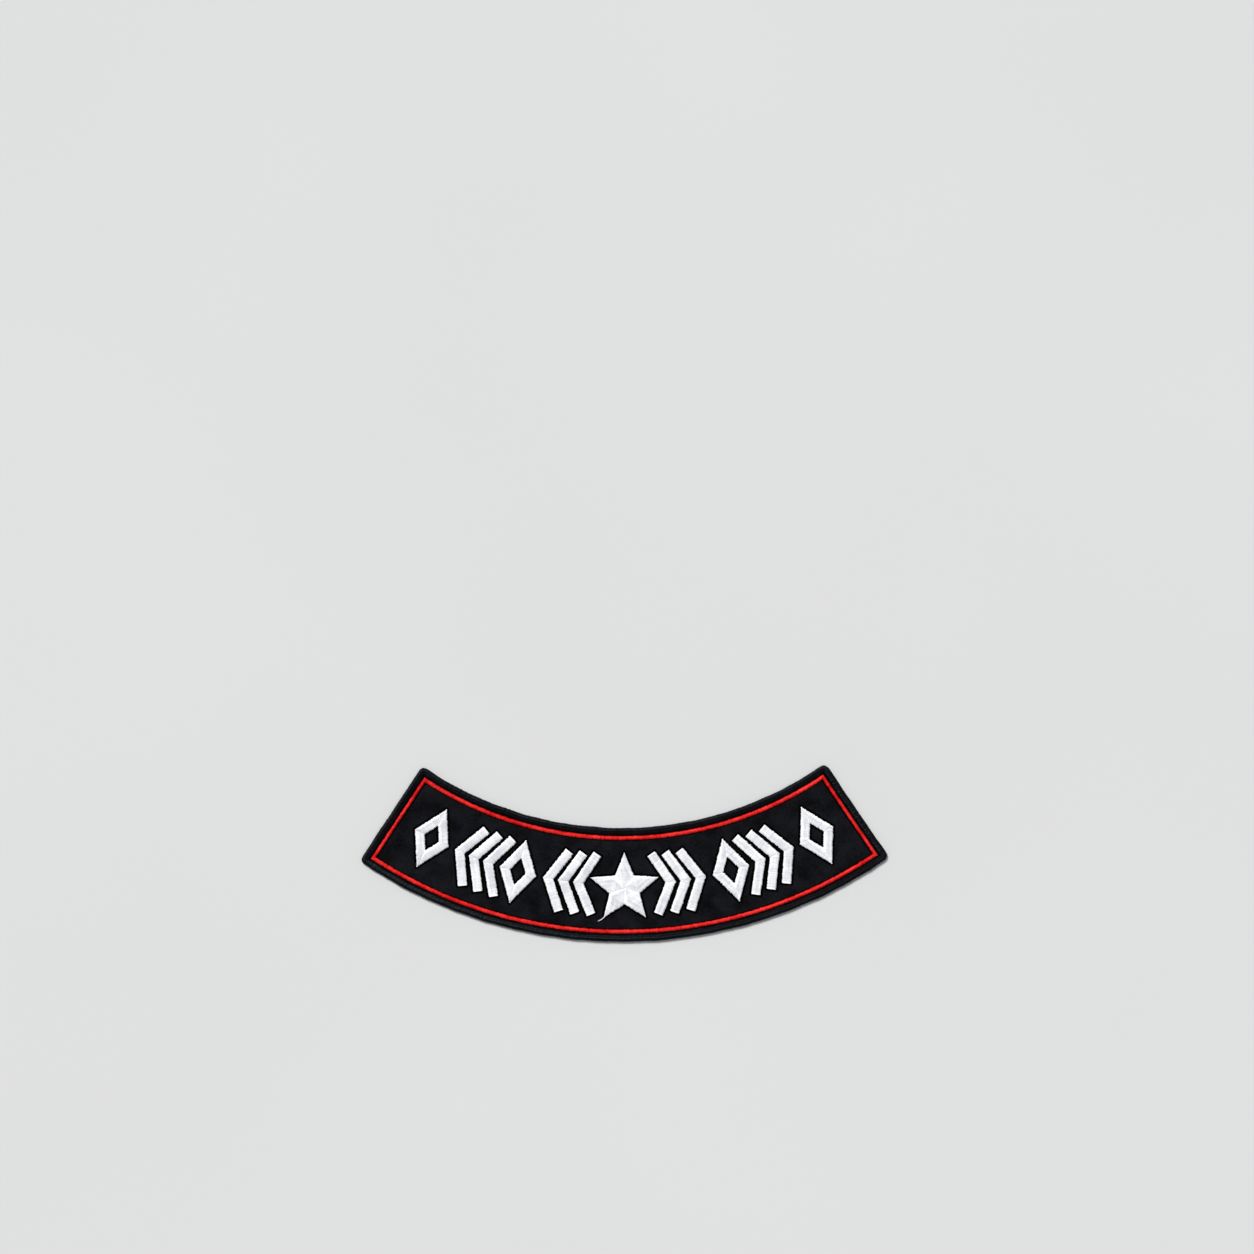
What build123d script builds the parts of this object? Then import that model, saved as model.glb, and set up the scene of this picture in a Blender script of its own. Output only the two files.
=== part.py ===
from build123d import *
import os
from math import asin, cos, degrees, hypot, pi, radians, sin, sqrt, tan

# A curved embroidered patch, a rocker, lying face up. Millimetres.
# X runs along the patch, Y towards its hollow upper edge, and Z up out of its face.
# Its edges and its rows of stitching share one arc centre, on the Y axis above the patch.

# The patch seen from above
overall_width = 305.0         # between the furthest points of its two ends
inner_radius = 204.4          # of the hollow upper edge
band_width = 66.4             # from the upper edge to the lower edge

# Overlocked border, a roll of thread wrapped round the cloth's edge
border_width = 4.0
border_inner_corner = 0.3     # radius of its inner side at the patch's corners
border_outside = 1.4          # thread beyond the cloth's edge
border_crown = 1.0            # thread over the cloth, along the middle of the roll
border_lip = 0.3              # thread over the cloth, at the roll's inner side
border_foot = 0.4             # thread under the cloth
border_foot_radius = 0.5      # rounding of the roll's outer lower edge

# Twill ground
rim_thickness = 1.1           # of the cloth that the border grips
stitch_gap = 0.05             # between any thread and the cloth that it holds

# Satin stitch outline round the field
outline_gap = 0.8             # bare cloth between the border and the outline
outline_width = 2.4
outline_edge = 0.2            # height of the stitching at its sides
outline_rise = 0.55           # from there up to its crown

# Row of satin stitch motifs
motif_margin = 7.1            # bare cloth above and below the row
row_end_margin = 9.7          # bare cloth at each end of the row
satin_width = 5.5             # of one column of stitches
satin_edge = 0.3              # height of the stitching at its sides
satin_rise = 0.65             # from there up to its crown
group_count = 2               # each side of the star: groups of chevrons, each followed by a lozenge
chevron_count = 3             # in each group
chevron_gap = 2.6             # between the chevrons of a group, along the middle of the row
chevron_slope = 28.0          # degrees between a chevron's arms and the height of the row
lozenge_width = 22.0
star_waist = 0.45             # radius of the star's inner corners as a share of its tips'
star_tips = 5

# Worked out from the above
outer_radius = inner_radius + band_width
corner_radius = border_width + border_inner_corner
half_angle = asin((overall_width / 2 - corner_radius) / (outer_radius - corner_radius))
highest = (inner_radius + corner_radius) * cos(half_angle) - corner_radius
arc_centre_y = (outer_radius + highest) / 2

rim_bottom = border_foot + stitch_gap
ground_top = rim_bottom + rim_thickness
thread_base = ground_top + stitch_gap
outline_inset = border_width + outline_gap + outline_width / 2
field_inset = border_width + outline_gap + outline_width

row_radius = inner_radius + band_width / 2
row_end = row_radius * half_angle + corner_radius - field_inset - row_end_margin
motif_height = band_width - 2 * (field_inset + motif_margin)
star_radius = motif_height / (1 + cos(pi / star_tips))
star_reach = star_radius * sin(2 * pi / star_tips)
slope = radians(chevron_slope)
chevron_width = satin_width / cos(slope)
chevron_pitch = chevron_width + chevron_gap
group_width = chevron_count * chevron_pitch - chevron_gap
bare_cloth = row_end - star_reach - group_count * (group_width + lozenge_width)
motif_gap = bare_cloth / (2 * group_count)


def end_point(radius, inset):
    """Where the circle of this radius meets the right-hand end line at this inset."""
    angle = half_angle + asin((corner_radius - inset) / radius)
    return Vector(radius * sin(angle), arc_centre_y - radius * cos(angle))


def band(inset):
    """The patch's outline seen from above, as a face with its edges moved in by the inset."""
    upper, lower = inner_radius + inset, outer_radius - inset
    upper_right, lower_right = end_point(upper, inset), end_point(lower, inset)
    upper_left = Vector(-upper_right.X, upper_right.Y)
    lower_left = Vector(-lower_right.X, lower_right.Y)
    edges = [
        ThreePointArc(lower_left, (0, arc_centre_y - lower), lower_right),
        Line(lower_right, upper_right),
        ThreePointArc(upper_right, (0, arc_centre_y - upper), upper_left),
        Line(upper_left, lower_left),
    ]
    sharp = make_face(edges)
    rounding = corner_radius - inset
    return fillet(sharp.vertices(), rounding).face() if rounding > 0 else sharp.face()


def across(path, height):
    """The plane across a path's start at this height, with X to the left of travel and Y up."""
    along = path % 0
    return Plane(path @ 0 + Vector(0, 0, height), x_dir=Vector(-along.Y, along.X), z_dir=along)


def satin_column(path, width, edge, rise):
    """Satin stitching along a path, flat below and crowned above, mitred at sharp corners."""
    half = width / 2
    section = make_face(
        [
            Polyline((-half, edge), (-half, 0), (half, 0), (half, edge)),
            ThreePointArc((half, edge), (0, edge + rise), (-half, edge)),
        ]
    )
    return sweep(across(path, thread_base) * section, path=path, transition=Transition.RIGHT)


def twill_ground():
    """The cloth: a field flush with the border's foot, and a thinner rim inside the border."""
    field = extrude(band(border_width + stitch_gap), ground_top)
    rim = Pos(0, 0, rim_bottom) * extrude(band(border_outside), rim_thickness)
    return field + rim


def border():
    """The roll of thread, cut across as a C that grips the cloth's rim."""
    slot_end = border_outside - stitch_gap
    slot_bottom = rim_bottom - stitch_gap
    slot_top = ground_top + stitch_gap
    flank = rim_bottom + rim_thickness / 2
    lip_top = slot_top + border_lip
    foot = border_foot_radius
    foot_middle = foot * (1 - sqrt(0.5))
    section = make_face(
        [
            Line((foot, 0), (border_width, 0)),
            Line((border_width, 0), (border_width, slot_bottom)),
            Line((border_width, slot_bottom), (slot_end, slot_bottom)),
            Line((slot_end, slot_bottom), (slot_end, slot_top)),
            Line((slot_end, slot_top), (border_width, slot_top)),
            Line((border_width, slot_top), (border_width, lip_top)),
            ThreePointArc((border_width, lip_top), (border_width / 2, slot_top + border_crown), (0, flank)),
            Line((0, flank), (0, foot)),
            ThreePointArc((0, foot), (foot_middle, foot_middle), (foot, 0)),
        ]
    )
    path = band(0).outer_wire()
    return sweep(across(path, 0) * section, path=path)


def outline():
    """The line of satin stitching round the field, sharp at its corners."""
    path = band(outline_inset).outer_wire()
    return satin_column(path, outline_width, outline_edge, outline_rise)


def chevron():
    """Two columns that meet in a point towards +X, with the point's middle at the origin."""
    arm_height = motif_height / 2 - satin_width / 2 * sin(slope)
    arm_end = -arm_height * tan(slope)
    path = Polyline((arm_end, arm_height), (0, 0), (arm_end, -arm_height))
    return satin_column(path.wire(), satin_width, satin_edge, satin_rise)


def lozenge():
    """Four columns round an open middle."""
    half_width, half_height = lozenge_width / 2, motif_height / 2
    side_to_middle = half_width * half_height / hypot(half_width, half_height)
    share = 1 - satin_width / 2 / side_to_middle
    x, y = share * half_width, share * half_height
    path = Polyline((x / 2, -y / 2), (x, 0), (0, y), (-x, 0), (0, -y), (x / 2, -y / 2))
    return satin_column(path.wire(), satin_width, satin_edge, satin_rise)


def star():
    """A star filled with satin stitching, which rises from its edges to its middle."""
    middle_y = motif_height / 2 - star_radius
    points = []
    for index in range(2 * star_tips):
        radius = star_radius * (star_waist if index % 2 else 1)
        turn = pi * index / star_tips
        points.append((-radius * sin(turn), middle_y + radius * cos(turn)))
    base = make_face(Polyline(*points, close=True))
    top = Pos(0, 0, thread_base + satin_edge) * base
    apex = Vertex(0, middle_y, thread_base + satin_edge + satin_rise)
    return Pos(0, 0, thread_base) * extrude(base, satin_edge) + loft([top.face(), apex], ruled=True)


def right_half():
    """The kind of each motif right of the star, from the middle outwards, and its place on the row."""
    motifs = []
    for group in range(group_count):
        start = star_reach + motif_gap + group * (group_width + lozenge_width + 2 * motif_gap)
        for index in range(chevron_count):
            motifs.append(("chevron", start + chevron_width / 2 + index * chevron_pitch))
        motifs.append(("lozenge", start + group_width + motif_gap + lozenge_width / 2))
    return motifs


def on_row(motif, distance):
    """A motif moved from the origin to this distance along the row, and turned to suit."""
    angle = distance / row_radius
    place = Pos(row_radius * sin(angle), arc_centre_y - row_radius * cos(angle))
    return place * Rot(0, 0, degrees(angle)) * motif


parts = {
    "twill_ground": twill_ground(),
    "border": border(),
    "outline": outline(),
    "star": on_row(star(), 0),
}
motif = {"chevron": chevron(), "lozenge": lozenge()}
number = {"chevron": 0, "lozenge": 0}
for kind, distance in right_half():
    number[kind] += 1
    right = on_row(motif[kind], distance)
    parts[f"{kind}_right_{number[kind]}"] = right
    parts[f"{kind}_left_{number[kind]}"] = mirror(right, Plane.YZ)

os.makedirs("parts", exist_ok=True)
for name, part in parts.items():
    export_step(part, f"parts/{name}.step")
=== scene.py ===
from collections import namedtuple
from math import asin, cos, hypot, pi, radians, sin, tan
import bpy
import numpy as np
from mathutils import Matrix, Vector


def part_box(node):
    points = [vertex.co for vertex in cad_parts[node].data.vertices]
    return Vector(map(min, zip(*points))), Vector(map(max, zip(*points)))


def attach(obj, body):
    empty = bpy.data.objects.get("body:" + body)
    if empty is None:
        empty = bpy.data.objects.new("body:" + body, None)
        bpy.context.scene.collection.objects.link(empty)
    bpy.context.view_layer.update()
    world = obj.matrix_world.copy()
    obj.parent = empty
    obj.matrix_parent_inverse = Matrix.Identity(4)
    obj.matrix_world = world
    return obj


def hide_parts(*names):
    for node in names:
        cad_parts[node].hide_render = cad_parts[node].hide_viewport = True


# The looks of a curved embroidered patch, a rocker, lying face up on a pale floor.
# Lengths are in millimetres up to the last step, which makes each mesh in metres.
# X runs along the patch, Y towards its hollow upper edge, and Z up out of its face.
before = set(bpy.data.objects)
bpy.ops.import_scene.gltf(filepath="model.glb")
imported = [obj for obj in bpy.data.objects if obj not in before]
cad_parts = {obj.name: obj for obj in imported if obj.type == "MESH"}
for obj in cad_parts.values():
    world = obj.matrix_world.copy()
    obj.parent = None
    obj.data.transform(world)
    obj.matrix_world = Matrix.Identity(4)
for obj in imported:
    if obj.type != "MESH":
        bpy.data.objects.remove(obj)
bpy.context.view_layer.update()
random = np.random.default_rng(20)
metres = 0.001                # in a millimetre

# The patch's sizes, as its solids have them
overall_width = (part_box("border")[1].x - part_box("border")[0].x) / metres
inner_radius = 204.4
band_width = 66.4
border_width = 4.0
border_inner_corner = 0.3
border_outside = 1.4
border_crown = 1.0
border_foot = 0.4
border_foot_radius = 0.5
rim_thickness = 1.1
stitch_gap = 0.05
outline_gap = 0.8
outline_width = 2.4
motif_margin = 7.1
row_end_margin = 9.7
satin_width = 5.5
group_count = 2
chevron_count = 3
chevron_gap = 2.6
slope = radians(28.0)
lozenge_width = 22.0
star_waist = 0.45
star_tips = 5

outer_radius = inner_radius + band_width
corner_radius = border_width + border_inner_corner
half_angle = asin((overall_width / 2 - corner_radius) / (outer_radius - corner_radius))
highest = (inner_radius + corner_radius) * cos(half_angle) - corner_radius
arc_centre_y = (outer_radius + highest) / 2

rim_bottom = border_foot + stitch_gap
ground_top = rim_bottom + rim_thickness
slot_top = ground_top + stitch_gap
slot_bottom = rim_bottom - stitch_gap
slot_end = border_outside - stitch_gap
outline_inset = border_width + outline_gap + outline_width / 2
field_inset = border_width + outline_gap + outline_width

row_radius = inner_radius + band_width / 2
row_end = row_radius * half_angle + corner_radius - field_inset - row_end_margin
motif_height = band_width - 2 * (field_inset + motif_margin)
star_radius = motif_height / (1 + cos(pi / star_tips))
star_reach = star_radius * sin(2 * pi / star_tips)
chevron_width = satin_width / cos(slope)
chevron_pitch = chevron_width + chevron_gap
group_width = chevron_count * chevron_pitch - chevron_gap
bare_cloth = row_end - star_reach - group_count * (group_width + lozenge_width)
motif_gap = bare_cloth / (2 * group_count)

# A kind of satin stitching: the distance from one thread to the next, a full column's height over
# the cloth, how square its cross-section is (2 is half an ellipse), how far apart the threads bunch,
# its shade from dark at 0 to light at 1, how much the shade varies, and the painted highlight along its
# sides
Stitching = namedtuple("Stitching", "pitch rise squareness grouping shade variety light_sides")
white_satin = Stitching(
    pitch=0.46, rise=0.98, squareness=7.0, grouping=1.5, shade=0.37, variety=0.1, light_sides=1.5
)
red_satin = Stitching(
    pitch=0.5, rise=0.95, squareness=2.1, grouping=2.4, shade=0.385, variety=0.12, light_sides=0.0
)

# How the stitches lie. A wave is given as its length along the run of threads and its size.
sink = 0.45                   # depth that their ends lie in the cloth
thread_points = 9             # along each thread
shoulder = 0.25               # from a thread's middle to each of its shoulders, as a share of the pitch
least_run = 0.05              # a side of a shape that covers less of its run than this ends no thread
mitre_bleed = 0.45            # how far stitches run into those that they meet at a mitre
full_stitch = 3.0             # shorter stitches have less uneven ends than these
ragged = 0.06                 # how far each thread's end strays by itself
serration = 0.09              # how far a few neighbours stray together
wander = (6.0, 0.07)          # wave by which a whole stretch of the edge strays
nub = 0.25                    # how far a few single threads stick out
nub_share = 0.015             # of the threads
least_ragged = 0.1            # share of all this that the shortest stitches keep
crown_variety = 0.022         # share of its height by which a single thread is higher or lower
crown_wave = (4.0, 0.012)     # the same for neighbours together
shade_waves = ((3.0, 0.03), (14.0, 0.1))  # of a run's shade
side_power = 5                # the higher, the narrower the painted highlight along a column's sides
square_end_rise = 0.1         # share by which the last threads of a column's square end are higher
painted_end_highlight = 0.7        # painted highlight: how much lighter they are made
square_end_power = 4          # the higher, the less this touches threads that are short of full length
valley_depth = 0.09           # between threads
valley_range = (0.7, 1.3)     # shares of that depth between which it varies
painted_valley_shade = 0.2            # painted shade: how much darker the valleys between threads are made
valley_cut = 0.1              # how much further in the valleys end
outer_valley = 0.35           # height outside a run's first and last thread, as a share
full_width = 0.75             # share of its greatest width where a tapering column reaches its full height
taper_power = 0.6             # the lower, the higher its narrow stitches
least_fullness = 0.05         # share of the full width that the narrowest count as
least_half_stitch = 0.12      # half the length of the shortest
held_height = 0.8             # share of the full height that a motif's narrow first stitches keep
outline_end_slack = 0.4       # that the outline is narrower by across the patch's ends
outline_least_fullness = 0.2  # the same as least_fullness, at the outline's mitred ends

# Loose ends of thread, each as three control points. The first are measured from a tip of the star.
star_tail = ((0.9, 0.9, 0.3), (-1.0, -1.3, 0.5), (-3.4, -2.0, 0.2))
star_tail_point = 2           # the star's point that it hangs from, anticlockwise from 0 at the top
border_tail = ((122.9, -17.3, 2.3), (123.0, -17.9, 2.9), (122.2, -18.4, 2.5))

# How the border's thread lies
wrap_pitch = 0.66             # from one turn to the next
wrap_rows = (0, 0.27, 0.73)   # a turn's valley and its shoulders, as shares of the pitch
wrap_slant = 0.3              # drift along the edge for each mm inwards
border_crest = 1.7            # from its outer side to its highest line
border_shelf = (2.6, 3.4)     # insets where its flatter inner part starts and ends
border_shelf_rise = 0.83      # of that part over the cloth
roll_points = (3, 6, 6, 5)    # round its foot, up to its crest, down to its flatter part and to the cloth
corner_squareness = 2.6       # of its outer corners, where 2 is round
edge_wave = (50.0, 0.12)      # by which the whole roll strays, as a length and a size
wrap_tone = 0.5               # the turns' shade, from dark at 0 to light at 1

# How uneven the border is: from turn to turn, in waves along its edge, and lower in the valleys. For the
# tone, lower in the valleys is painted shade between the turns.
Unevenness = namedtuple("Unevenness", "each waves valley")
uneven_size = Unevenness(each=0.022, waves=((70.0, 0.015), (18.0, 0.025), (6.0, 0.022)), valley=0.07)
uneven_reach = Unevenness(each=0.1, waves=((10.0, 0.06),), valley=0.12)
tone_and_painted_valley_shade = Unevenness(each=0.2, waves=((12.0, 0.15), (70.0, 0.2)), valley=0.35)

# How the cloth lies
cloth_grid = 0.46             # from one of its points to the next
dip = 0.3                     # depth that it is pulled down beside the stitches
dip_width = 0.55
open_width = 4.0              # distance from stitches where it swells to the full
open_rise = 0.05
open_swell = (16.0, 0.06)     # low waves there, as a length and a size
ripple = (3.0, 0.012)         # the same everywhere
motif_reach = 3.0             # distance up to which a motif matters
painted_shade_reach = (0.9, 1.65)          # distances from motifs where the painted shade on the cloth is darkest and where it ends
painted_half_shade = 1.25             # a distance between those, where the painted shade is about half as dark
painted_outline_shade_trim = 0.8           # width by which the painted shade on the cloth beside the outline is narrower


def wobble(stations, wavelength, size):
    """A smooth wander along a run: a sum of waves round one wavelength, with random phases."""
    total, likely_total = np.zeros(len(stations)), 2
    for stretch in (0.6, 0.8, 1.0, 1.35, 1.9):
        total += np.sin(2 * pi * stations / (wavelength * stretch) + random.uniform(0, 2 * pi))
    return size * total / likely_total


def swell(points, wavelength, size):
    """Low waves over the plan round one wavelength, each in a random direction."""
    total, waves, likely_total = np.zeros(len(points)), 7, 2.6
    for _ in range(waves):
        way, phase = random.uniform(0, 2 * pi, 2)
        number = 2 * pi / (wavelength * random.uniform(0.7, 1.5))
        total += np.sin(number * points @ [cos(way), sin(way)] + phase)
    return size * total / likely_total


# Seen from above, round the arc centre
def radial(angle):
    """The way out from the arc centre at this angle from straight down the Y axis."""
    return np.stack([np.sin(angle), -np.cos(angle)], axis=-1)


def polar(radius, angle):
    """Points at this distance from the arc centre."""
    return [0, arc_centre_y] + np.asarray(radius)[..., None] * radial(angle)


def end_point(radius, inset):
    """Where the circle of this radius meets the right-hand end line at this inset."""
    return polar(radius, half_angle + asin((corner_radius - inset) / radius))


def inset_of(points):
    """How far inside the patch's edge each point lies, with the corners taken as sharp."""
    offset = points - [0, arc_centre_y]
    radius = np.hypot(offset[:, 0], offset[:, 1])
    angle = np.arctan2(np.abs(offset[:, 0]), -offset[:, 1])
    beyond = radius * np.sin(angle - half_angle)
    return np.minimum.reduce([outer_radius - radius, radius - inner_radius, corner_radius - beyond])


def edge_loop():
    """Once round the patch: the distance run along its edge, the centre that the edge's corners
    turn about or the point as far inside, and the way out from there, longer in a squarer corner."""
    arc_points, corner_points = 600, 40
    lower, upper = outer_radius - corner_radius, inner_radius + corner_radius
    arc = np.linspace(-half_angle, half_angle, arc_points)
    turn = np.linspace(0, pi / 2, corner_points)
    powers = np.cos(turn) ** corner_squareness + np.sin(turn) ** corner_squareness
    square = powers ** (-1 / corner_squareness)
    stretches = [
        (lower, arc, arc - pi / 2, 1),
        (lower, half_angle, half_angle - pi / 2 + turn, square),
        (upper, half_angle, half_angle + turn, square),
        (upper, -arc, pi / 2 - arc, 1),
        (upper, -half_angle, pi / 2 - half_angle + turn, square),
        (lower, -half_angle, pi - half_angle + turn, square),
    ]
    columns = zip(*(np.broadcast_arrays(*stretch) for stretch in stretches))
    radius, place, way, length = (np.concatenate(column) for column in columns)
    centre = polar(radius, place)
    outward = length[:, None] * np.stack([np.cos(way), np.sin(way)], axis=1)
    steps = np.diff(centre + corner_radius * outward, axis=0)
    run = np.concatenate([[0], np.cumsum(np.hypot(steps[:, 0], steps[:, 1]))])
    return run, centre, outward


# Meshes of thread
class Shells:
    """Closed rings of points, joined into one mesh. Each point also holds the distance along its
    thread, the distance along the run of threads, and a tone, which also carries painted shade and
    highlights."""

    def __init__(self):
        self.points, self.threads, self.smooth, self.flat = [], [], [], []
        self.count = 0

    def add(self, rings, threads, looped=False, flat_sides=1):
        """Rings of points, in rows. The last flat_sides sides of each ring stay flat."""
        rows, sides, _ = rings.shape
        self.points.append(rings.reshape(-1, 3))
        self.threads.append(threads.reshape(-1, 3))
        index = self.count + np.arange(rows * sides).reshape(rows, sides)
        here = index if looped else index[:-1]
        there = np.roll(index, -1, axis=0) if looped else index[1:]
        beside_there, beside_here = np.roll(there, -1, axis=1), np.roll(here, -1, axis=1)
        quads = np.stack([here, there, beside_there, beside_here], axis=2)
        self.smooth += quads[:, : sides - flat_sides].reshape(-1, 4).tolist()
        self.flat += quads[:, sides - flat_sides :].reshape(-1, 4).tolist()
        if not looped:
            self.flat += [index[0].tolist(), index[-1][::-1].tolist()]
        self.count += rows * sides

    def piece(self, name, material, node, slot):
        """The object made of these shells, in the place of its node."""
        attribute = np.vstack(self.threads)
        made = solid(name, np.vstack(self.points), self.smooth, self.flat, material, node)
        thread = made.data.attributes.new("thread", "FLOAT_VECTOR", "POINT")
        thread.data.foreach_set("vector", attribute.astype(np.float32).ravel())
        return made


def solid(name, points, smooth, flat, material, node):
    """An object from points in millimetres and from faces, in the place of its node."""
    mesh = bpy.data.meshes.new(name)
    mesh.from_pydata((points * metres).tolist(), [], smooth + flat)
    mesh.polygons.foreach_set("use_smooth", [True] * len(smooth) + [False] * len(flat))
    mesh.materials.append(material)
    made = bpy.data.objects.new(name, mesh)
    bpy.context.scene.collection.objects.link(made)
    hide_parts(node)
    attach(made, "root")
    return made


def between(values):
    """Values in the valleys before, between and after the threads."""
    step = np.gradient(values, axis=0)
    before, after = values[0] - step[0] / 2, values[-1] + step[-1] / 2
    return np.concatenate([[before], (values[1:] + values[:-1]) / 2, [after]])


def ridged(on_threads, in_valleys):
    """Rows of values for a run of threads: a valley, then both shoulders of each thread, and so on up to
    a last valley."""
    rows = np.empty((3 * len(on_threads) + 1, *on_threads.shape[1:]))
    rows[0::3] = in_valleys
    step = shoulder * np.gradient(on_threads, axis=0)
    rows[1::3], rows[2::3] = on_threads - step, on_threads + step
    return rows


def strayed(end, outward, length, station, stitching):
    """The ends of a run of threads on one side, each a little too far out or in."""
    stray = random.normal(0, ragged, len(end)) + wobble(station, *wander)
    stray += wobble(station, stitching.grouping, serration)
    stray += nub * (random.random(len(end)) < nub_share)
    stray *= np.clip(length / full_stitch, least_ragged, 1)
    return end + outward * stray[:, None]


def crown_and_tone(fullness, length, station, stitching):
    """Each thread's height over the cloth, and its shade, with a painted highlight on a square end's last
    threads.
    """
    count = len(length)
    uneven = 1 + random.normal(0, crown_variety, count) + wobble(station, *crown_wave)
    tone = stitching.shade + random.normal(0, stitching.variety, count)
    tone += sum(wobble(station, *wave) for wave in shade_waves)
    square_end = np.zeros(count)
    square_end[[0, 1, -2, -1]] = 1
    square_end *= (length / length.max()) ** square_end_power
    crown = stitching.rise * fullness * uneven * (1 + square_end_rise * square_end)
    # the last threads of a square end get a painted highlight
    return crown, tone + painted_end_highlight * square_end


def arched(shells, left, right, crown, tone, station, stitching):
    """Adds rows of points, each an arch over the cloth from one side of a run of threads to the other."""
    place = (1 - np.cos(np.linspace(0, pi, thread_points))) / 2
    from_middle = np.abs(2 * place - 1)
    arch = np.sqrt(1 - from_middle**stitching.squareness)
    rings = np.empty((len(crown), thread_points, 3))
    rings[:, :, :2] = right[:, None] + (left - right)[:, None] * place[None, :, None]
    rings[:, :, 2] = ground_top - sink + (sink + crown)[:, None] * arch[None, :]
    threads = np.empty_like(rings)
    threads[:, :, 0] = place * np.hypot(*(left - right).T)[:, None]
    threads[:, :, 1] = station[:, None]
    # painted highlight: each column's sides are made lighter than its middle
    threads[:, :, 2] = tone[:, None] + stitching.light_sides * from_middle**side_power
    shells.add(rings, threads)


def satin(shells, left, right, fullness, stitching):
    """A run of threads side by side, each from its left end to its right end, over the cloth. Fullness
    is each thread's height as a share of a full column's."""
    length = np.hypot(*(left - right).T)
    unit = (left - right) / length[:, None]
    station = np.arange(len(left)) * stitching.pitch
    left = strayed(left, unit, length, station, stitching)
    right = strayed(right, -unit, length, station, stitching)
    crown, tone = crown_and_tone(fullness, length, station, stitching)
    valley = between(crown) - valley_depth * random.uniform(*valley_range, len(left) + 1)
    valley[[0, -1]] *= outer_valley
    cut = valley_cut * between(unit)
    arched(
        shells,
        ridged(left, between(left) - cut),
        ridged(right, between(right) + cut),
        ridged(crown, valley),
        # painted shade in the valleys between threads
        ridged(tone, between(tone) - painted_valley_shade),
        ridged(station, between(station)),
        stitching,
    )


def ends_across(s, t, mitres, stations):
    """The low and the high end of the thread at each station across a convex shape, and how far each
    of them runs on into a mitre. The shape's corners lie at s along it and t across it."""
    low, high = np.full(len(stations), np.inf), np.full(len(stations), -np.inf)
    low_bleed, high_bleed = np.zeros(len(stations)), np.zeros(len(stations))
    for a in range(len(s)):
        b = (a + 1) % len(s)
        if abs(s[a] - s[b]) < least_run:
            continue
        share = (stations - s[a]) / (s[b] - s[a])
        met = (share >= 0) & (share <= 1)
        crossing = t[a] + share * (t[b] - t[a])
        bleed = mitre_bleed if a in mitres else 0
        low_bleed = np.where(met & (crossing < low), bleed, low_bleed)
        high_bleed = np.where(met & (crossing > high), bleed, high_bleed)
        low = np.where(met, np.minimum(low, crossing), low)
        high = np.where(met, np.maximum(high, crossing), high)
    return low, high, low_bleed, high_bleed


def fill(shells, shape, stitching, held=0.0):
    """Satin stitches across a convex shape, one thread for each step along it. Short stitches lie
    lower, but before its widest place only the very shortest lie below the held share of a full
    column's height."""
    corners, along, mitres = shape
    along = along / hypot(*along)
    sideways = np.array([-along[1], along[0]])
    s, t = corners @ along, corners @ sideways
    threads = round((s.max() - s.min()) / stitching.pitch)
    stations = s.min() + (np.arange(threads) + 0.5) * (s.max() - s.min()) / threads
    low, high, low_bleed, high_bleed = ends_across(s, t, mitres, stations)
    half = np.maximum((high - low) / 2, least_half_stitch)
    fullness = np.clip(half / (full_width * half.max()), least_fullness, 1) ** taper_power
    before = stations < stations[half.argmax()]
    fullness[before] = np.maximum(fullness, held * np.clip(half / stitching.pitch, 0, 1))[before]
    run, middle = stations[:, None] * along, (low + high) / 2
    left = run + (middle + half + high_bleed)[:, None] * sideways
    right = run + (middle - half - low_bleed)[:, None] * sideways
    satin(shells, left, right, fullness, stitching)


def strand(shells, path, width, tone):
    """A loose end of thread along a curve with three control points, tapered towards its ends."""
    count, sides, length = 12, 8, 3
    first, last, power = -0.95, 0.97, 4  # of the taper, whose width falls to nothing at -1 and 1
    share = np.linspace(0, 1, count)[:, None]
    start, middle, end = np.array(path)
    line = (1 - share) ** 2 * start + 2 * share * (1 - share) * middle + share**2 * end
    along = np.gradient(line, axis=0)
    along /= np.linalg.norm(along, axis=1)[:, None]
    side = np.cross(along, [0, 0, 1])
    up = np.cross(side, along)
    turn = np.linspace(0, 2 * pi, sides, endpoint=False)[None, :, None]
    taper = np.sqrt(1 - np.linspace(first, last, count) ** power)[:, None, None]
    around = np.cos(turn) * side[:, None] + np.sin(turn) * up[:, None]
    rings = line[:, None] + width / 2 * taper * around
    threads = np.zeros_like(rings)
    threads[:, :, 0] = np.linspace(0, length, count)[:, None]
    threads[:, :, 2] = tone
    shells.add(rings, threads, flat_sides=0)


# The motifs of the row, each as the shapes that its stitches fill. A shape is its corners, the way
# that it runs, and which of its sides are mitres, where it meets another.
def chevron_arms():
    """The two arms of a chevron that points towards +X."""
    arm_height = motif_height / 2 - satin_width / 2 * sin(slope)
    arm_end = np.array([-arm_height * tan(slope), arm_height])
    outward = satin_width / 2 * np.array([cos(slope), sin(slope)])
    tip = np.array([chevron_width / 2, 0])
    upper = np.array([tip, arm_end + outward, arm_end - outward, -tip])
    way = np.array([-sin(slope), cos(slope)])
    return [(upper, way, [3]), (upper * [1, -1], way * [1, -1], [3])]


def lozenge_sides():
    """The four sides of a lozenge."""
    right, top = np.array([lozenge_width / 2, 0]), np.array([0, motif_height / 2])
    outer = np.array([right, top, -right, -top])
    side_to_middle = lozenge_width * motif_height / hypot(lozenge_width, motif_height) / 2
    inner = outer * (1 - satin_width / side_to_middle)
    sides = []
    for k in range(4):
        after = (k + 1) % 4
        corners = np.array([outer[k], outer[after], inner[after], inner[k]])
        sides.append((corners, outer[after] - outer[k], [1, 3]))
    return sides


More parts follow.
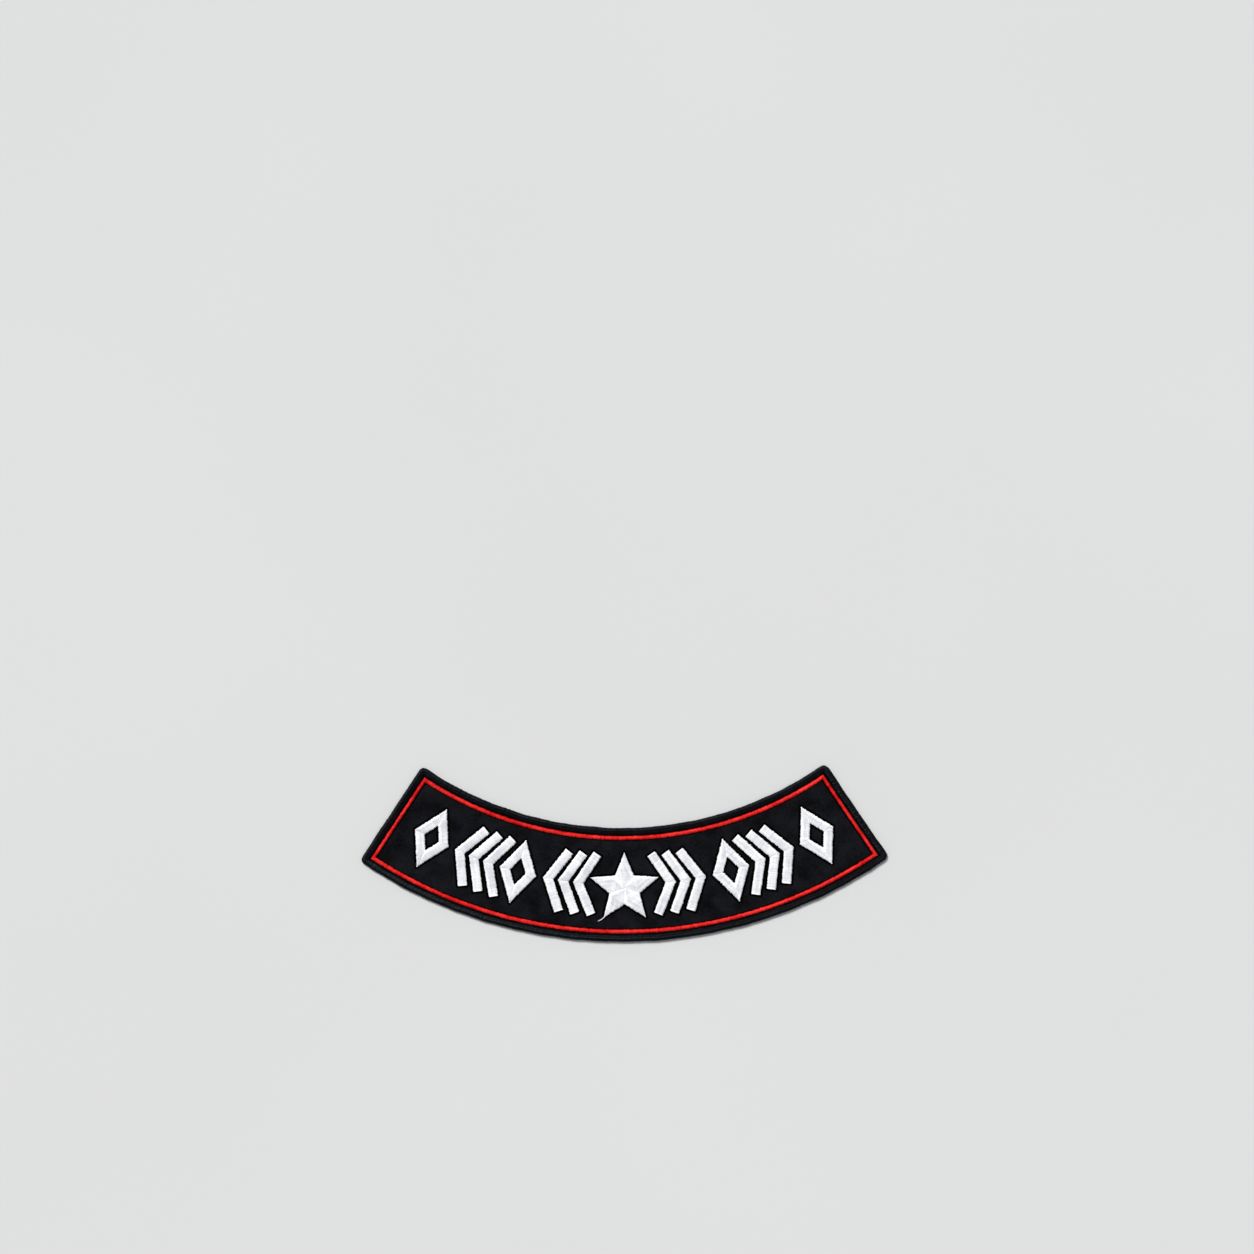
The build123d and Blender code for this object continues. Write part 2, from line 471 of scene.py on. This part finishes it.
def star_points():
    """The points of the star, each from its tip to the middle."""
    middle = np.array([0, motif_height / 2 - star_radius])

    def corner(radius, step):
        turn = pi * step / star_tips
        return middle + radius * np.array([-sin(turn), cos(turn)])

    points = []
    for k in range(0, 2 * star_tips, 2):
        tip = corner(star_radius, k)
        waists = [corner(star_waist * star_radius, k + side) for side in (1, -1)]
        points.append((np.array([tip, waists[0], middle, waists[1]]), tip - middle, [1, 2]))
    return points


def on_row(points, distance, flip):
    """Points near the origin, moved to this distance along the row and turned to suit."""
    angle = distance / row_radius
    turn = np.array([[cos(angle), sin(angle)], [-sin(angle), cos(angle)]])
    return (points @ turn + polar(row_radius, angle)) * ([-1, 1] if flip else [1, 1])


def placed(shapes, distance, flip=False):
    """A motif's shapes at their place on the row, or at its mirror image."""
    origin = on_row(np.zeros(2), distance, flip)
    return [
        (on_row(corners, distance, flip), on_row(way, distance, flip) - origin, mitres)
        for corners, way, mitres in shapes
    ]


def row_of_motifs():
    """Each motif's node, and its shapes where they lie."""
    found = {"star": placed(star_points(), 0)}
    number = {"chevron": 0, "lozenge": 0}
    for group in range(group_count):
        start = star_reach + motif_gap + group * (group_width + lozenge_width + 2 * motif_gap)
        first, lozenge = start + chevron_width / 2, start + group_width + motif_gap + lozenge_width / 2
        row = [("chevron", chevron_arms(), first + k * chevron_pitch) for k in range(chevron_count)]
        row.append(("lozenge", lozenge_sides(), lozenge))
        for kind, shapes, distance in row:
            number[kind] += 1
            found[f"{kind}_right_{number[kind]}"] = placed(shapes, distance)
            found[f"{kind}_left_{number[kind]}"] = placed(shapes, distance, flip=True)
    return found


def motif(node, shapes, material):
    """A white motif: satin stitches across each of its shapes."""
    shells = Shells()
    for shape in shapes:
        fill(shells, shape, white_satin, held=held_height)
    if node == "star":
        corners, _, _ = shapes[star_tail_point]
        tip = np.array([*corners[0], ground_top])
        strand(shells, tip + star_tail, width=0.5, tone=0.3)
    return shells.piece(f"{node}_stitches", material, node, "white_thread")


# The outline and the border
def outline_arc(shells, radius, outward):
    """The red line along one arc, mitred at both ends. Its outer side is the one further from the arc
    centre where outward is 1, and the nearer one where it is -1."""
    half = outline_width / 2
    corner = half_angle + asin((corner_radius - outline_inset) / radius)
    reach = corner * radius + half
    threads = round(2 * reach / red_satin.pitch)
    stations = -reach + (np.arange(threads) + 0.5) * 2 * reach / threads
    inner = np.maximum(-half, np.abs(stations) - corner * radius - mitre_bleed)
    angle = stations / radius
    sides = polar(radius + outward * inner, angle), polar(radius + outward * half, angle)
    left, right = sides[::outward]
    length = np.hypot(*(left - right).T)
    fullness = np.clip(length / half, outline_least_fullness, 1) ** taper_power
    satin(shells, left, right, fullness, red_satin)


def outline(material):
    """The red line round the field: two arcs and two ends, mitred where they meet."""
    shells = Shells()
    outline_arc(shells, outer_radius - outline_inset, outward=1)
    outline_arc(shells, inner_radius + outline_inset, outward=-1)
    half = outline_width / 2
    inner_side = outline_inset + half - outline_end_slack
    corners = np.array([
        end_point(outer_radius - outline_inset + half, outline_inset - half),
        end_point(inner_radius + outline_inset - half, outline_inset - half),
        end_point(inner_radius + inner_side, inner_side),
        end_point(outer_radius - inner_side, inner_side),
    ])
    for side in (1, -1):
        there = corners * [side, 1]
        fill(shells, (there, there[1] - there[0], [1, 3]), red_satin)
    return shells.piece("outline_stitches", material, "outline", "red_thread")


def roll():
    """The border's outside cut across, as insets and heights: from under its foot, up over its crest,
    down to a flatter part and over its inner side to the cloth."""
    flank = rim_bottom + rim_thickness / 2
    crest, shelf = slot_top + border_crown, slot_top + border_shelf_rise
    shelf_start, shelf_end = border_shelf
    foot_points, rise_points, ease_points, side_points = roll_points
    under = np.linspace(0, pi / 2, foot_points)
    rise = np.linspace(0, pi / 2, rise_points, endpoint=False)
    ease = np.linspace(0, 1, ease_points)
    side = np.linspace(0, pi / 2, side_points)
    insets = [
        border_foot_radius * (1 - np.sin(under)),
        border_crest * (1 - np.cos(rise)),
        border_crest + (shelf_start - border_crest) * ease,
        shelf_end + (border_width - shelf_end) * np.sin(side),
    ]
    heights = [
        border_foot_radius * (1 - np.cos(under)),
        flank + (crest - flank) * np.sin(rise),
        shelf + (crest - shelf) * (1 + np.cos(pi * ease)) / 2,
        slot_top + border_shelf_rise * np.cos(side),
    ]
    return np.column_stack([np.concatenate(insets), np.concatenate(heights)])


def grip():
    """The border's inside cut across, in the same way: the slot that holds the cloth, and its foot."""
    return np.array([
        (border_width, ground_top - dip),
        (border_width - dip, slot_top),
        (slot_end, slot_top),
        (slot_end, slot_bottom),
        (border_width, slot_bottom),
        (border_width, 0),
    ])


class Wraps:
    """The rows of points in turns of thread that go once round the patch, with the station of each."""

    def __init__(self, whole):
        self.whole = whole
        self.count = round(whole / wrap_pitch)
        self.turn, self.step = np.divmod(np.arange(len(wrap_rows) * self.count), len(wrap_rows))
        self.station = whole / self.count * (self.turn + np.array(wrap_rows)[self.step])

    def wave(self, wavelength, size):
        """A wave that meets itself where the edge closes."""
        phase = 2 * pi * round(self.whole / wavelength) * self.station / self.whole
        return size * sum(np.sin(k * phase + random.uniform(0, 2 * pi)) for k in (1, 2, 3)) / 2

    def uneven(self, unevenness):
        """One value for each row, with all that this unevenness holds."""
        each = random.normal(0, unevenness.each, self.count)[self.turn]
        waves = sum(self.wave(*wave) for wave in unevenness.waves)
        return each + waves - unevenness.valley * (self.step == 0)


def uneven_roll(wraps, outside, inside):
    """The insets and the heights of each row's points, a little different from turn to turn."""
    section = np.vstack([outside, inside])
    inset, height = (np.tile(values, (len(wraps.station), 1)) for values in section.T)
    swollen = 1 + wraps.uneven(uneven_size)
    rounded = slice(roll_points[0] - 1, len(outside))
    for values, middle in ((inset, border_width / 2), (height, rim_bottom)):
        values[:, rounded] = middle + (values[:, rounded] - middle) * swollen[:, None]
    inset[:, : len(outside)] += wraps.wave(*edge_wave)[:, None]
    inner_side = slice(len(outside) - roll_points[-1], len(outside) + 1)
    inset[:, inner_side] += wraps.uneven(uneven_reach)[:, None]
    return inset, height


def border(material):
    """The roll of thread wrapped round the cloth's edge, turn beside turn, with a slot for the cloth."""
    run, centre, outward = edge_loop()
    wraps = Wraps(run[-1])
    outside, inside = roll(), grip()
    inset, height = uneven_roll(wraps, outside, inside)
    at = np.mod(wraps.station[:, None] + wrap_slant * inset, wraps.whole)
    x, y, way_x, way_y = (np.interp(at, run, values) for values in (*centre.T, *outward.T))
    out = corner_radius - inset
    rings = np.stack([x + out * way_x, y + out * way_y, height], axis=2)
    steps = np.hypot(*np.diff(np.vstack([outside, inside]), axis=0).T)
    threads = np.empty_like(rings)
    threads[:, :, 0] = np.concatenate([[0], np.cumsum(steps)])[None, :]
    threads[:, :, 1] = wraps.station[:, None]
    # random tone of the turns, with painted shade in the valleys between them
    threads[:, :, 2] = (wrap_tone + wraps.uneven(tone_and_painted_valley_shade))[:, None]
    shells = Shells()
    shells.add(rings, threads, looped=True, flat_sides=len(inside) + 1)
    strand(shells, border_tail, width=0.4, tone=3.0)
    return shells.piece("border_wraps", material, "border", "black_thread")


# The cloth
def cloth_points(across, up, inset):
    """Points of the cloth cut at this inset: across runs from -1 to 1 along it, and up from 0 at its
    lower edge to 1. Its corners are rounded about the same centres as the patch's."""
    radius = outer_radius - inset - up * (band_width - 2 * inset)
    angle = np.abs(across) * (half_angle + np.arcsin((corner_radius - inset) / radius))
    rounding = corner_radius - inset
    beyond, out = radius * np.sin(angle - half_angle), radius * np.cos(angle - half_angle)
    low = up < 0.5
    turn_at = np.where(low, outer_radius - corner_radius, inner_radius + corner_radius)
    sign = np.where(low, 1, -1)
    u, v = beyond / rounding, np.minimum(sign * (out - turn_at) / rounding, 1)
    in_corner = (u > 0) & (v > 0)
    # In a corner, the square from 0 to 1 is bent into a quarter of a circle
    round_u = u * np.sqrt(1 - np.clip(v, 0, 1) ** 2 / 2)
    round_v = v * np.sqrt(1 - np.clip(u, 0, 1) ** 2 / 2)
    beyond = np.where(in_corner, rounding * round_u, beyond)
    out = np.where(in_corner, turn_at + sign * rounding * round_v, out)
    points = out[:, None] * radial(half_angle) + beyond[:, None] * [cos(half_angle), sin(half_angle)]
    points *= np.where(across < 0, -1, 1)[:, None] * [1, 0] + [0, 1]
    return points + [0, arc_centre_y]


def from_shape(points, corners):
    """How far each point lies outside a convex shape, or 0 inside."""
    middle = corners.mean(0)
    beyond = np.full(len(points), False)
    nearest = np.full(len(points), np.inf)
    for a, b in zip(corners, np.roll(corners, -1, axis=0)):
        side = b - a
        outward = np.array([side[1], -side[0]])
        outward *= np.sign((a - middle) @ outward)
        beyond |= (points - a) @ outward > 0
        share = np.clip((points - a) @ side / (side @ side), 0, 1)
        nearest = np.minimum(nearest, np.hypot(*(points - a - share[:, None] * side).T))
    return np.where(beyond, nearest, 0)


def from_motifs(points, shapes):
    """How far each point of the plan lies from the nearest motif, as far as that matters."""
    nearest = np.full(len(points), motif_reach)
    for corners, _, _ in shapes:
        low, high = corners.min(0) - motif_reach, corners.max(0) + motif_reach
        near = np.flatnonzero(((points > low) & (points < high)).all(1))
        nearest[near] = np.minimum(nearest[near], from_shape(points[near], corners))
    return nearest


def relief(plan, inset, from_motif):
    """How high the cloth lies: pulled down beside every line of stitches, and swelling a little between
    them."""
    from_outline = np.abs(inset - outline_inset) - outline_width / 2
    gap = np.minimum.reduce([inset - border_width, from_outline, from_motif])
    beside = np.exp(-(np.maximum(gap, 0) / dip_width) ** 2)
    open_cloth = np.clip(gap / open_width, 0, 1) * (open_rise + swell(plan, *open_swell))
    return (open_cloth - dip * beside + swell(plan, *ripple)) * (inset > border_width)


def painted_shade_distance(inset, from_motif):
    """How clear each point of the cloth is of the stitches round it, which sets its painted shade."""
    # the cloth between the outline and the border gets a painted half shade
    from_outline = np.where(inset > outline_inset, inset - field_inset + painted_outline_shade_trim, painted_half_shade)
    return np.minimum(from_outline, from_motif)


def cloth_sides(rim, across, up, count):
    """What is under the cloth's rim, down to the border's foot: rings of points, the faces between
    them, and which points are the last ring's. Count is how many points there are already."""
    field = border_width + stitch_gap
    points, faces, above = [], [], rim
    for cut, z in ((border_outside, rim_bottom), (field, rim_bottom), (field, 0.0)):
        ring = cloth_points(across[rim], up[rim], cut)
        points.append(np.column_stack([ring, np.full(len(rim), z)]))
        below = count + np.arange(len(rim))
        faces += np.stack([above, below, np.roll(below, -1), np.roll(above, -1)], axis=1).tolist()
        above = below
        count += len(rim)
    return np.vstack(points), faces, above


def cloth_back(ring, columns, rows):
    """The faces that close this ring: one for each column, and one at each end of the patch."""
    lower, upper = ring[1 : columns - 1], ring[columns + rows - 1 : 2 * columns + rows - 3][::-1]
    faces = np.stack([lower[:-1], upper[:-1], upper[1:], lower[1:]], axis=1).tolist()
    right_end = ring[columns - 2 : columns + rows]
    left_end = np.concatenate([ring[2 * columns + rows - 4 :], ring[:2]])
    return faces + [right_end[::-1].tolist(), left_end[::-1].tolist()]


def twill(material, shapes):
    """The cloth, down to the border's foot, where its back is one flat face. Each point also holds how
    clear it is of stitches, which sets the painted shade beside them."""
    columns, rows = round(2 * row_radius * half_angle / cloth_grid), round(band_width / cloth_grid)
    across, up = np.meshgrid(np.linspace(-1, 1, columns), np.linspace(0, 1, rows))
    across, up = across.ravel(), up.ravel()
    plan = cloth_points(across, up, border_outside)
    inset, from_motif = inset_of(plan), from_motifs(plan, shapes)
    top = np.column_stack([plan, ground_top + relief(plan, inset, from_motif)])
    index = np.arange(rows * columns).reshape(rows, columns)
    smooth = np.stack([index[:-1, :-1], index[:-1, 1:], index[1:, 1:], index[1:, :-1]], axis=2)
    smooth = smooth.reshape(-1, 4)[:, ::-1].tolist()
    rim = np.concatenate([index[0, :-1], index[:-1, -1], index[-1, :0:-1], index[:0:-1, 0]])
    under, flat, ring = cloth_sides(rim, across, up, len(top))
    flat += cloth_back(ring, columns, rows)
    points = np.vstack([top, under])
    cloth = solid("twill_cloth", points, smooth, flat, material, "twill_ground")
    painted_shade_clear = np.concatenate([painted_shade_distance(inset, from_motif), np.zeros(len(under))])
    attribute = cloth.data.attributes.new("painted_shade_clear", "FLOAT", "POINT")
    attribute.data.foreach_set("value", painted_shade_clear.astype(np.float32))
    return cloth


# Finishes
class Finish:
    """A material with one principled shader, and a short way to add nodes to it."""

    def __init__(self, name, constants):
        self.material = bpy.data.materials.new(name)
        self.material.use_nodes = True
        self.shader = self.material.node_tree.nodes["Principled BSDF"]
        for socket, value in constants.items():
            self.put(self.shader.inputs[socket], value)

    def put(self, socket, value):
        """Links a socket to another or sets it. A colour is given without its alpha."""
        if isinstance(value, bpy.types.NodeSocket):
            self.material.node_tree.links.new(value, socket)
        elif socket.type == "RGBA":
            socket.default_value = (*value, 1)
        else:
            socket.default_value = value

    def add(self, kind, inputs, output=0, **settings):
        """An output of a new node, with its settings made and its inputs linked or set. Inputs and
        outputs go by name, or by number where several have the same name."""
        node = self.material.node_tree.nodes.new(kind)
        for name, value in settings.items():
            setattr(node, name, value)
        for socket, value in inputs.items():
            self.put(node.inputs[socket], value)
        return node.outputs[output]

    def math(self, operation, first, second=0.0):
        return self.add("ShaderNodeMath", {0: first, 1: second}, operation=operation)

    def total(self, parts, level=0.0):
        """A level plus each value times its share."""
        result = level
        for value, share in parts:
            result = self.math("ADD", self.math("MULTIPLY", value, share), result)
        return result

    def noise(self, place, scale, detail):
        """Noise over these places, with about as many waves for each unit as its scale."""
        return self.add("ShaderNodeTexNoise", {"Vector": place, "Scale": scale, "Detail": detail})

    def mix(self, share, dark, light):
        """From the dark colour where the share is 0 or less to the light one where it is 1 or more."""
        inputs = {0: share, 6: dark, 7: light}
        return self.add("ShaderNodeMix", inputs, output=2, data_type="RGBA", clamp_factor=True)

    def colour(self, value):
        self.put(self.shader.inputs["Base Color"], value)

    def bump(self, height, depth):
        """Relief as deep as this in millimetres where the height goes from 0 to 1."""
        inputs = {"Height": height, "Distance": depth * metres, "Strength": 1.0}
        self.put(self.shader.inputs["Normal"], self.add("ShaderNodeBump", inputs))


def thread_finish(name, dark, light, constants):
    """Embroidery thread: each turn in its own shade, with fine fibres and the twist of its plies. The
    shade also carries the painted highlights and painted shade set on the threads.
    """
    ply_length, ply_lean = 0.8, 9.0  # of the twist, and how it shifts from one thread to the next
    fibre_scale, band_scale = 0.6, 0.12  # of fibres along their thread and of bands across threads
    pattern_shift = 100.0     # between one piece's pattern and the next
    finish = Finish(name, constants)
    thread = {"Vector": finish.add("ShaderNodeAttribute", {}, output="Vector", attribute_name="thread")}
    along, across, tone = (finish.add("ShaderNodeSeparateXYZ", thread, output=axis) for axis in "XYZ")
    piece = finish.math("MULTIPLY", finish.add("ShaderNodeObjectInfo", {}, output="Random"), pattern_shift)
    streak = {"X": finish.math("MULTIPLY", along, fibre_scale), "Y": across, "Z": piece}
    fibres = finish.noise(finish.add("ShaderNodeCombineXYZ", streak), scale=7.0, detail=3.0)
    band = {"X": along, "Y": finish.math("MULTIPLY", across, band_scale), "Z": piece}
    bands = finish.noise(finish.add("ShaderNodeCombineXYZ", band), scale=0.55, detail=2.0)
    twist = finish.math("SINE", finish.total([(along, 2 * pi / ply_length), (across, ply_lean)]))
    shade = finish.total([(tone, 1.0), (fibres, 0.5), (bands, 1.5)], level=-1.0)
    finish.colour(finish.mix(shade, dark, light))
    finish.bump(finish.total([(fibres, 1.0), (twist, 0.25)]), depth=0.04)
    return finish.material


def twill_finish():
    """Black twill: diagonal wales crossed by the weft, worn a little unevenly, with painted shade beside
    the motifs and the outline."""
    wale_pitch, wale_lean, weft_pitch = 0.62, radians(-35), 0.34
    wave = 0.314              # length of one wave of a wave texture whose scale is 1
    lint_level = 0.73         # noise above this shows as lint
    dark, light = (0.0018, 0.0019, 0.0026), (0.0098, 0.0102, 0.0124)
    # painted shade: the near black that the cloth is made beside the motifs and the outline
    painted_shade_beside_motifs = (0.0002, 0.0002, 0.0003)
    finish = Finish("black twill", {"Roughness": 0.85, "Specular IOR Level": 0.02})
    place = finish.add("ShaderNodeTexCoord", {}, output="Object")
    in_mm = {"Vector": place, "Scale": (1 / metres,) * 3}
    leaning = finish.add("ShaderNodeMapping", {**in_mm, "Rotation": (0, 0, wale_lean)})
    upright = finish.add("ShaderNodeMapping", in_mm)
    wale_wave = {"Vector": leaning, "Scale": wave / wale_pitch, "Distortion": 0.6}
    wales = finish.add("ShaderNodeTexWave", {**wale_wave, "Detail": 1.0, "Detail Scale": 1.5})
    weft_wave = {"Vector": upright, "Scale": wave / weft_pitch, "Distortion": 0.4}
    weft = finish.add("ShaderNodeTexWave", weft_wave, bands_direction="Y")
    weave = finish.total([(wales, 0.7), (weft, 0.3)])
    blotches = finish.noise(upright, scale=0.09, detail=3.0)
    fuzz = finish.noise(upright, scale=0.7, detail=2.0)
    lint = finish.math("GREATER_THAN", finish.noise(upright, scale=1.1, detail=2.0), lint_level)
    shade = finish.total([(weave, 0.6), (blotches, 1.9), (fuzz, 1.15), (lint, 0.5)], level=-1.3)
    # painted shade beside the stitches, by how clear each point is of them
    painted_shade_clear = finish.add("ShaderNodeAttribute", {}, output="Fac", attribute_name="painted_shade_clear")
    reach = {"Value": painted_shade_clear, "From Min": painted_shade_reach[0], "From Max": painted_shade_reach[1]}
    painted_light_share = finish.add("ShaderNodeMapRange", reach, interpolation_type="SMOOTHSTEP")
    finish.colour(finish.mix(painted_light_share, painted_shade_beside_motifs, finish.mix(shade, dark, light)))
    finish.bump(weave, depth=0.08)
    return finish.material


def floor_finish():
    """Plain pale paper."""
    finish = Finish("pale floor", {"Roughness": 0.7, "Specular IOR Level": 0.2})
    mottle = finish.noise(finish.add("ShaderNodeTexCoord", {}, output="Object"), scale=3.0, detail=2.0)
    finish.colour(finish.mix(mottle, dark=(0.62, 0.62, 0.62), light=(0.65, 0.65, 0.65)))
    return finish.material


# The patch
white_thread = thread_finish(
    "white thread",
    dark=(0.60, 0.608, 0.65),
    light=(0.97, 0.97, 0.98),
    constants={"Roughness": 0.42, "Specular IOR Level": 0.45, "Sheen Weight": 0.1},
)
red_thread = thread_finish(
    "red thread",
    dark=(0.5, 0.001, 0.0018),
    light=(1.0, 0.04, 0.034),
    constants={"Roughness": 0.4, "Specular IOR Level": 0.1},
)
black_thread = thread_finish(
    "black thread",
    dark=(0.0006, 0.0007, 0.0009),
    light=(0.0034, 0.0040, 0.0052),
    constants={"Roughness": 0.34, "Specular IOR Level": 0.094, "Specular Tint": (0.74, 0.87, 1.0)},
)
motifs = row_of_motifs()
for node, shapes in motifs.items():
    motif(node, shapes, white_thread)
outline(red_thread)
border(black_thread)
cloth = twill(twill_finish(), [shape for shapes in motifs.values() for shape in shapes])

# The floor, the light and the camera
floor_reach = 6.0             # in metres
floor_depth = 0.0001          # in metres below the cloth's back, so that the two aren't in one plane
floor_corners = [(x * floor_reach, y * floor_reach, 0) for x, y in ((-1, -1), (1, -1), (1, 1), (-1, 1))]
floor_mesh = bpy.data.meshes.new("floor")
floor_mesh.from_pydata(floor_corners, [], [(0, 1, 2, 3)])
floor_mesh.materials.append(floor_finish())
floor = bpy.data.objects.new("floor", floor_mesh)
floor.location.z = -floor_depth
bpy.context.scene.collection.objects.link(floor)


def lamp(name, away, breadth, strength):
    """A soft light far away in this direction, as broad as this in degrees."""
    light = bpy.data.lights.new(name, "SUN")
    light.angle, light.energy = radians(breadth), strength
    made = bpy.data.objects.new(name, light)
    made.rotation_euler = Vector(away).to_track_quat("Z", "Y").to_euler()
    bpy.context.scene.collection.objects.link(made)


def pale_room(level, overhead):
    """Light from all round, of this strength at eye level and of another overhead."""
    world = bpy.data.worlds.new("pale room")
    world.use_nodes = True
    nodes, links = world.node_tree.nodes, world.node_tree.links
    way = nodes.new("ShaderNodeSeparateXYZ")
    strength = nodes.new("ShaderNodeMapRange")
    strength.inputs["To Min"].default_value = level
    strength.inputs["To Max"].default_value = overhead
    links.new(nodes.new("ShaderNodeTexCoord").outputs["Generated"], way.inputs["Vector"])
    links.new(way.outputs["Z"], strength.inputs["Value"])
    links.new(strength.outputs["Result"], nodes["Background"].inputs["Strength"])
    nodes["Background"].inputs["Color"].default_value = (0.95, 0.97, 1.0, 1)
    bpy.context.scene.world = world


lamp("key light", away=(-0.48, 0.87, 1.1), breadth=20, strength=3.5)
lamp("fill light", away=(0.6, -0.3, 1.6), breadth=35, strength=0.3)
pale_room(level=0.7, overhead=0.05)
bpy.context.scene.view_settings.view_transform = "Standard"

photo_pixels = 1254
photo_patch_pixels = 524.3    # width of the patch in the photo
photo_arc_centre = (621.6, 476.4)
mm_per_pixel = overall_width / photo_patch_pixels
photo_tilt = radians(0.41)    # that the patch lies turned to the left
camera_height = 3.0           # in metres
camera_data = bpy.data.cameras.new("camera")
camera_data.lens = camera_data.sensor_width * camera_height / (photo_pixels * mm_per_pixel * metres)
camera = bpy.data.objects.new("camera", camera_data)
from_arc_centre = Vector([
    (photo_pixels / 2 - photo_arc_centre[0]) * mm_per_pixel * metres,
    (photo_arc_centre[1] - photo_pixels / 2) * mm_per_pixel * metres,
    camera_height,
])
camera.rotation_euler.z = -photo_tilt
camera.location = camera.rotation_euler.to_matrix() @ from_arc_centre
camera.location.y += arc_centre_y * metres
bpy.context.scene.collection.objects.link(camera)
bpy.context.scene.camera = camera
